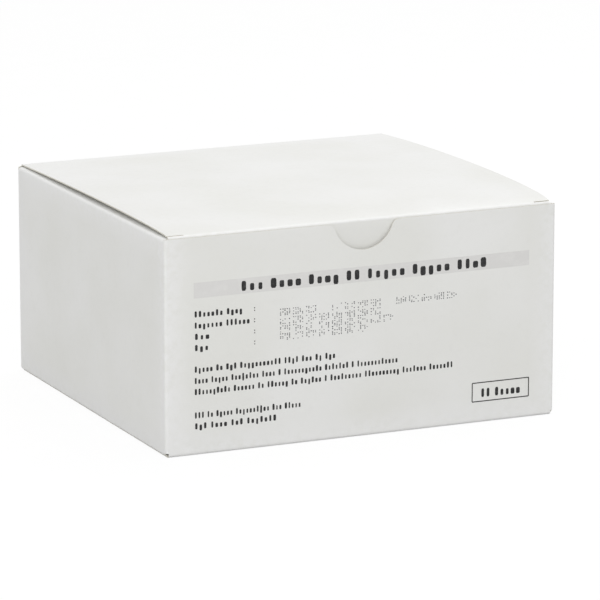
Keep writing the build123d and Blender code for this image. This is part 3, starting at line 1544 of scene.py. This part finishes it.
@dataclass(frozen=True)
class LeafletPaper:
    """Thin offset paper with word-like rows on its upper side."""

    low: Vector
    high: Vector
    name: str = "offset_paper"
    paper: Colour = linear(238, 237, 230)
    shade: Colour = linear(228, 227, 219)
    ink: Colour = linear(92, 92, 94)
    shade_share: float = 0.6
    roughness: float = 0.75
    specular: float = 0.25
    rows: PrintedRows = PrintedRows(pitch=2.6 * MM, share=0.38, word_pitch=1.6 * MM, word_break=0.42)
    margin: float = 5.0 * MM
    least_upright: float = 0.9
    fibre_scale: float = 1300.0
    fibre_span: Pair = (0.35, 0.7)
    fibre_height: float = 0.01 * MM

    def material(self) -> Material:
        """Builds the paper and the broken rows between its margins.

        Returns:
            The finished material.
        """
        graph = Recipe(self.name)
        where = graph.place()
        parts = graph.node("ShaderNodeSeparateXYZ", {"Vector": where})
        across, along = parts.outputs["X"], parts.outputs["Y"]
        rows = self.rows.mask(graph, across, along)
        in_x = graph.within(across, (self.low.x + self.margin, self.high.x - self.margin))
        in_y = graph.within(along, (self.low.y + self.margin, self.high.y - self.margin))
        normal = graph.node("ShaderNodeNewGeometry").outputs["Normal"]
        upright = graph.node("ShaderNodeSeparateXYZ", {"Vector": normal}).outputs["Z"]
        on_top = graph.maths("GREATER_THAN", upright, self.least_upright)
        fibre = graph.noise(where, self.fibre_scale, detail=4.0)
        shaded = graph.ranged(fibre, (0.0, self.shade_share), over=self.fibre_span)
        colour = graph.mixed(shaded, self.paper, self.shade)
        graph.set("Base Color", graph.mixed(graph.product(rows, in_x, in_y, on_top), colour, self.ink))
        graph.set("Roughness", self.roughness)
        graph.set("Specular IOR Level", self.specular)
        graph.set("Normal", graph.bump(fibre, self.fibre_height))
        return graph.material


@dataclass
class Leaflet:
    """The instruction leaflet: one sheet folded back and forth."""

    thickness: float = 0.35 * MM
    gap: float = 0.12 * MM
    leaves: int = 6
    fold_steps: int = 6
    rows: int = 6
    smooth_angle: float = 40.0

    def build(self) -> list[Piece]:
        """Folds the leaflet leaf by leaf.

        Returns:
            The finished piece, in a list.
        """
        low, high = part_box("package_insert")
        middle = (low + high) / 2
        pitch = self.thickness + self.gap
        run = (high.x - low.x) / 2 - pitch / 2 - self.thickness / 2
        level = low.z + self.thickness / 2
        clear_selection()
        bpy.ops.mesh.primitive_plane_add(size=1.0, location=(middle.x, middle.y, level))
        bpy.ops.transform.resize(value=(2 * run, high.y - low.y, 1.0))
        piece = added("folded_leaflet")
        with Bench(piece) as bench:
            bench.choose(Part.EDGE, lambda p: abs(p.x - middle.x - run) < NEAR)
            for leaf in range(self.leaves - 1):
                end = 1 if leaf % 2 == 0 else -1
                fold = level + (leaf + 0.5) * pitch
                bench.roll((middle.x + end * run, 0.0, fold), Axis.Y, -180 * end, self.fold_steps)
                bench.pull(x=-2 * end * run)
            bench.cut(Axis.Y, stops(low.y, high.y, self.rows))
        dress(piece, LeafletPaper(low, high).material())
        apply(piece, "SOLIDIFY", thickness=self.thickness, offset=0.0, use_even_offset=True)
        with Bench(piece) as bench:
            bench.merge()
            bench.face_out()
        smooth(piece, self.smooth_angle)
        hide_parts("package_insert")
        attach(piece, Body.CARTON.value)
        return [piece]


@dataclass(frozen=True)
class Mark:
    """One block of ink on the front panel: its middle and its size."""

    x: float
    z: float
    width: float
    height: float


@dataclass(frozen=True)
class WordRow:
    """A row of word-like groups, each of plain upright blocks of uneven width and height.

    Shares of the row's cells and of its height give the blocks' places and sizes.
    """

    left: float
    right: float
    base: float
    height: float
    words: tuple[int, ...]
    bold: float
    space: float = 0.6
    middle: float = 0.45
    widths: Pair = (0.36, 0.56)
    tall_chance: float = 0.22
    low_height: float = 0.7
    drop_chance: float = 0.1
    drop_depth: float = 0.25

    def marks(self, dice: random.Random) -> list[Mark]:
        """Lays the row's blocks.

        Args:
            dice: Source of the row's variation.

        Returns:
            The marks, from left to right.
        """
        cells = sum(self.words) + self.space * (len(self.words) - 1)
        pitch = (self.right - self.left) / cells
        laid, x = [], self.left
        for word in self.words:
            for number in range(word):
                is_tall = number == 0 or dice.random() < self.tall_chance
                drops = number > 0 and dice.random() < self.drop_chance
                tall = self.height * (1.0 if is_tall else self.low_height)
                drop = self.height * (self.drop_depth if drops else 0.0)
                width = pitch * dice.uniform(*self.widths) * self.bold
                laid.append(Mark(x + self.middle * pitch, self.base + (tall - drop) / 2, width, tall + drop))
                x += pitch
            x += self.space * pitch
        return laid


@dataclass(frozen=True)
class DotRow:
    """A row of coded dots, as an inkjet coder leaves them, in cells with no character in them."""

    first: float
    level: float
    pitch: float
    cells: int
    blank: tuple[int, ...] = ()
    columns: int = 5
    lines: int = 5
    cell_width: float = 3.6 * MM
    cell_height: float = 2.2 * MM
    filled: float = 0.52
    dot: float = 0.40 * MM
    dot_range: Pair = (0.8, 1.1)
    dot_stretch: float = 1.25
    drift: float = 0.05 * MM

    def marks(self, dice: random.Random) -> list[Mark]:
        """Lays the row's dots.

        Args:
            dice: Source of the row's variation.

        Returns:
            The dots, cell by cell.
        """
        laid = []
        for cell in range(self.cells):
            if cell in self.blank:
                continue
            middle = self.first + cell * self.pitch
            for column in range(self.columns):
                for line in range(self.lines):
                    if dice.random() < self.filled:
                        x = middle + self.cell_width * (column / (self.columns - 1) - 0.5)
                        z = self.level + self.cell_height * (line / (self.lines - 1) - 0.5)
                        size = self.dot * dice.uniform(*self.dot_range)
                        shift = dice.uniform(-self.drift, self.drift)
                        laid.append(Mark(x + shift, z, size * self.dot_stretch, size))
        return laid


@dataclass
class FrontPrint:
    """Print on the front panel: a grey band, word-like marks, coded dots and a framed count."""

    board: Board
    black: Ink = Ink("black_ink", linear(30, 30, 31), linear(62, 62, 62))
    grey: Ink = Ink("band_ink", linear(224, 223, 221), linear(228, 227, 225), patch_scale=300.0)
    coder: Ink = Ink("coder_ink", linear(74, 75, 80), linear(118, 118, 121), 1400.0, (0.54, 0.7))
    film: float = 0.03 * MM
    sunk: float = 0.01 * MM
    block_corner: float = 0.18
    bar_corner: float = 0.002
    bar_runs: int = 24
    dot_sides: int = 8
    left: float = -68.55 * MM
    cap_height: float = 2.3 * MM
    cap_weight: float = 1.15
    colon_x: float = -44.34 * MM
    colon_size: float = 0.4 * MM
    colon_levels: Pair = (0.45 * MM, 1.45 * MM)
    code_first: float = -32.1 * MM
    code_pitch: float = 5.27 * MM
    frame_x: Pair = (45.37 * MM, 69.25 * MM)
    frame_z: Pair = (8.3 * MM, 15.6 * MM)
    frame_line: float = 0.4 * MM
    band: Mark = Mark(0.2 * MM, 62.2 * MM, 137.4 * MM, 5.8 * MM)
    title: WordRow = WordRow(-50.1 * MM, 51.4 * MM, 60.35 * MM, 3.7 * MM, (3, 4, 4, 2, 5, 5, 4), 1.25)
    count: WordRow = WordRow(48.8 * MM, 66.0 * MM, 9.9 * MM, 3.3 * MM, (2, 5), 1.3)
    label_rows: tuple[TextRow, ...] = (
        (52.13 * MM, -48.9 * MM, (7, 4)),
        (47.9 * MM, -46.0 * MM, (7, 6)),
        (43.67 * MM, -62.0 * MM, (3,)),
        (39.47 * MM, -62.4 * MM, (3,)),
    )
    coded_rows: tuple[CodedRow, ...] = (
        (50.9 * MM, 14, (3, 8)),
        (47.62 * MM, 8, ()),
        (44.53 * MM, 9, ()),
        (41.55 * MM, 7, ()),
    )
    text_rows: tuple[TextRow, ...] = (
        (31.34 * MM, -11.4 * MM, (5, 2, 3, 11, 4, 3, 2, 3)),
        (27.07 * MM, 14.3 * MM, (4, 5, 8, 4, 1, 11, 7, 1, 12)),
        (22.87 * MM, 37.3 * MM, (10, 6, 2, 6, 2, 6, 1, 9, 10, 7, 7)),
        (14.0 * MM, -25.4 * MM, (3, 2, 5, 10, 3, 5)),
        (9.88 * MM, -35.3 * MM, (3, 4, 3, 7)),
    )
    seed: int = 25

    def build(self) -> list[Piece]:
        """Prints every group.

        Returns:
            The finished pieces.
        """
        black, grey, coder = self.black.material(), self.grey.material(), self.coder.material()
        dice = random.Random(self.seed)
        oblong = self.block("ink_block", self.block_corner)
        dot = self.disc("ink_dot")
        bar = self.strip("ink_bar")
        made = [
            self.print_marks("title_band", bar, [self.band], grey),
            self.print_marks("title_marks", oblong, self.title.marks(dice), black, self.film),
            self.print_marks("label_marks", oblong, self.labels(dice), black),
            self.print_marks("coded_dots", dot, self.coded(dice), coder),
            self.print_marks("text_marks", oblong, self.written(self.text_rows, dice), black),
            self.print_marks("count_frame", bar, self.frame_bars(), black),
            self.print_marks("count_marks", oblong, self.count.marks(dice), black),
        ]
        for master in (oblong, dot, bar):
            discard(master)
        return made

    def thickened(self, piece: Piece) -> Piece:
        """Gives a flat shape of ink its film, which starts a little inside the board.

        Args:
            piece: The flat shape, facing the front.

        Returns:
            The same piece.
        """
        with Bench(piece) as bench:
            bench.everything()
            bench.thicken(y=-self.sunk - self.film)
            bench.merge()
            bench.face_out()
        return piece

    def block(self, name: str, corner: float) -> Piece:
        """Models one rounded block of ink, a unit wide and high.

        Args:
            name: Name of the shape.
            corner: Size of its rounded corners.

        Returns:
            The block, in the middle of the origin.
        """
        clear_selection()
        bpy.ops.mesh.primitive_plane_add(
            size=1.0, rotation=(math.pi / 2, 0.0, 0.0), location=(0.0, self.sunk, 0.0)
        )
        piece = added(name)
        with Bench(piece) as bench:
            bench.choose(Part.VERTEX, lambda _: True)
            bpy.ops.mesh.bevel(offset=corner, segments=1, affect="VERTICES")
        return self.thickened(piece)

    def disc(self, name: str) -> Piece:
        """Models one round dot of ink, a unit across.

        Args:
            name: Name of the shape.

        Returns:
            The dot, in the middle of the origin.
        """
        clear_selection()
        bpy.ops.mesh.primitive_circle_add(
            vertices=self.dot_sides,
            radius=0.5,
            fill_type="NGON",
            rotation=(math.pi / 2, 0.0, 0.0),
            location=(0.0, self.sunk, 0.0),
        )
        return self.thickened(added(name))

    def strip(self, name: str) -> Piece:
        """Models one long bar of ink, a unit wide and high, cut into runs that follow the panel.

        Args:
            name: Name of the shape.

        Returns:
            The bar, in the middle of the origin.
        """
        piece = self.block(name, self.bar_corner)
        with Bench(piece) as bench:
            bench.cut(Axis.X, stops(-0.5, 0.5, self.bar_runs))
            bench.cut(Axis.Z, [0.0])
        return piece

    def print_marks(
        self, name: str, master: Piece, marks: list[Mark], ink: Material, lift: float = 0.0
    ) -> Piece:
        """Copies the master to every mark, joins the copies and lays them on the swollen panel.

        Args:
            name: Name of the finished piece.
            master: The block, dot or bar that repeats.
            marks: Where the copies go and how large they are.
            ink: Material of the group.
            lift: How far the group stands off the panel, above its own film.

        Returns:
            The finished piece.
        """
        copies = []
        for mark in marks:
            size = Matrix.Diagonal((mark.width, 1.0, mark.height, 1.0))
            copies.append(copied(master, name, Matrix.Translation((mark.x, -lift, mark.z)) @ size))
        piece = joined(copies, name)
        with Bench(piece) as bench:
            bench.shape(lambda p: Vector((p.x, p.y + self.board.front_face(p.x, p.z), p.z)))
        dress(piece, ink)
        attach(piece, Body.CARTON.value)
        return piece

    def written(self, rows: Iterable[TextRow], dice: random.Random) -> list[Mark]:
        """Lays rows of word-like marks from the panel's left margin.

        Args:
            rows: The base, the right end and the words' lengths of each row.
            dice: Source of the rows' variation.

        Returns:
            The marks, row by row.
        """
        laid = []
        for base, right, words in rows:
            laid += WordRow(self.left, right, base, self.cap_height, words, self.cap_weight).marks(dice)
        return laid

    def labels(self, dice: random.Random) -> list[Mark]:
        """Lays the short label rows and their colons.

        Args:
            dice: Source of the rows' variation.

        Returns:
            The marks of the rows, then those of the colons.
        """
        laid, size = self.written(self.label_rows, dice), self.colon_size
        for base, *_ in self.label_rows:
            laid += [Mark(self.colon_x, base + level, size, size) for level in self.colon_levels]
        return laid

    def coded(self, dice: random.Random) -> list[Mark]:
        """Lays the rows of coded dots.

        Args:
            dice: Source of the rows' variation.

        Returns:
            The dots, row by row.
        """
        laid = []
        for level, cells, blank in self.coded_rows:
            laid += DotRow(self.code_first, level, self.code_pitch, cells, blank).marks(dice)
        return laid

    def frame_bars(self) -> list[Mark]:
        """Lays the bars round the count.

        Returns:
            The lower, upper, left and right bars.
        """
        (left, right), (low, high), line = self.frame_x, self.frame_z, self.frame_line
        middle_x, middle_z = (left + right) / 2, (low + high) / 2
        level = [Mark(middle_x, z, right - left, line) for z in (low, high)]
        upright = [Mark(x, middle_z, line, high - low) for x in (left, right)]
        return level + upright


@dataclass(frozen=True)
class SoftBox:
    """A square soft box: where it stands, what it faces, its side and its power in watts."""

    name: str
    place: Triple
    target: Triple
    size: float
    power: float

    def set_up(self) -> None:
        """Adds the lamp to the scene."""
        direction = Vector(self.target) - Vector(self.place)
        turn = direction.to_track_quat("-Z", "Y").to_euler()
        clear_selection()
        bpy.ops.object.light_add(type="AREA", location=self.place, rotation=turn)
        lamp = bpy.context.object
        lamp.name = self.name
        lamp.data.shape = "SQUARE"
        lamp.data.size = self.size
        lamp.data.energy = self.power


@dataclass(frozen=True)
class Studio:
    """Pale floor, soft lights, white surroundings and the photograph's camera."""

    camera_place: Triple = (-0.6883, -1.5412, 0.4259)
    yaw: float = 24.311
    pitch: float = 12.992
    lens: float = 268.4
    sensor: float = 36.0
    floor_size: float = 8.0
    white: Colour = (1.0, 1.0, 1.0, 1.0)
    sky: float = 0.66
    lamps: tuple[SoftBox, ...] = (
        SoftBox("top_box", (0.5, 0.3, 1.0), (0.0, 0.0, 0.05), 0.9, 2.9),
        SoftBox("front_box", (-0.55, -1.25, 0.75), (0.0, 0.0, 0.04), 0.7, 7.5),
        SoftBox("side_box", (-1.2, 0.1, 0.3), (0.0, 0.0, 0.04), 0.5, 0.9),
    )

    def build(self) -> None:
        """Sets up the camera, the floor, the world and the lights."""
        scene = bpy.context.scene
        scene.view_settings.view_transform = "Standard"
        clear_selection()
        bpy.ops.object.camera_add(
            location=self.camera_place, rotation=(math.radians(90 - self.pitch), 0.0, -math.radians(self.yaw))
        )
        camera = bpy.context.object
        camera.name = "photo_camera"
        camera.data.lens = self.lens
        camera.data.sensor_width = self.sensor
        camera.data.dof.use_dof = False
        scene.camera = camera
        self.lay_floor()
        self.light_world(scene)
        for lamp in self.lamps:
            lamp.set_up()

    def lay_floor(self) -> None:
        """Lays the floor that the object stands on."""
        clear_selection()
        bpy.ops.mesh.primitive_plane_add(size=self.floor_size, location=(0.0, 0.0, 0.0))
        floor = added("floor")
        dress(floor, StudioWhite().material())

    def light_world(self, scene: bpy.types.Scene) -> None:
        """Gives the world a soft level for light and plain white where it is seen, straight or mirrored.

        Args:
            scene: The scene that gets the world.
        """
        world = bpy.data.worlds.new("studio_world")
        world.use_nodes = True
        graph = Graph(world.node_tree)
        background = world.node_tree.nodes["Background"]
        graph.feed(background.inputs["Color"], self.white)
        graph.feed(background.inputs["Strength"], graph.ranged(graph.seen(), (self.sky, 1.0)))
        scene.world = world


def main() -> None:
    """Builds the object piece by piece."""
    logging.basicConfig(level=logging.INFO, format="%(name)s: %(message)s")
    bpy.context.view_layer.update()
    Studio().build()
    finishes = CoatedBoard().material(), BareBoard().material(), CutEdge().material()
    half_width, half_depth, rear_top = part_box("carton_body")[1]
    board = Board(half_width, half_depth, rear_top, *finishes)
    assemblies = (
        CartonShell(board),
        TuckLid(board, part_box("lid")[1].x),
        Pouches(Foil().material()),
        Leaflet(),
        FrontPrint(board),
    )
    for assembly in assemblies:
        for piece in assembly.build():
            log.info("%s has %d faces", piece.name, len(piece.data.polygons))


if __name__ == "__main__":
    main()
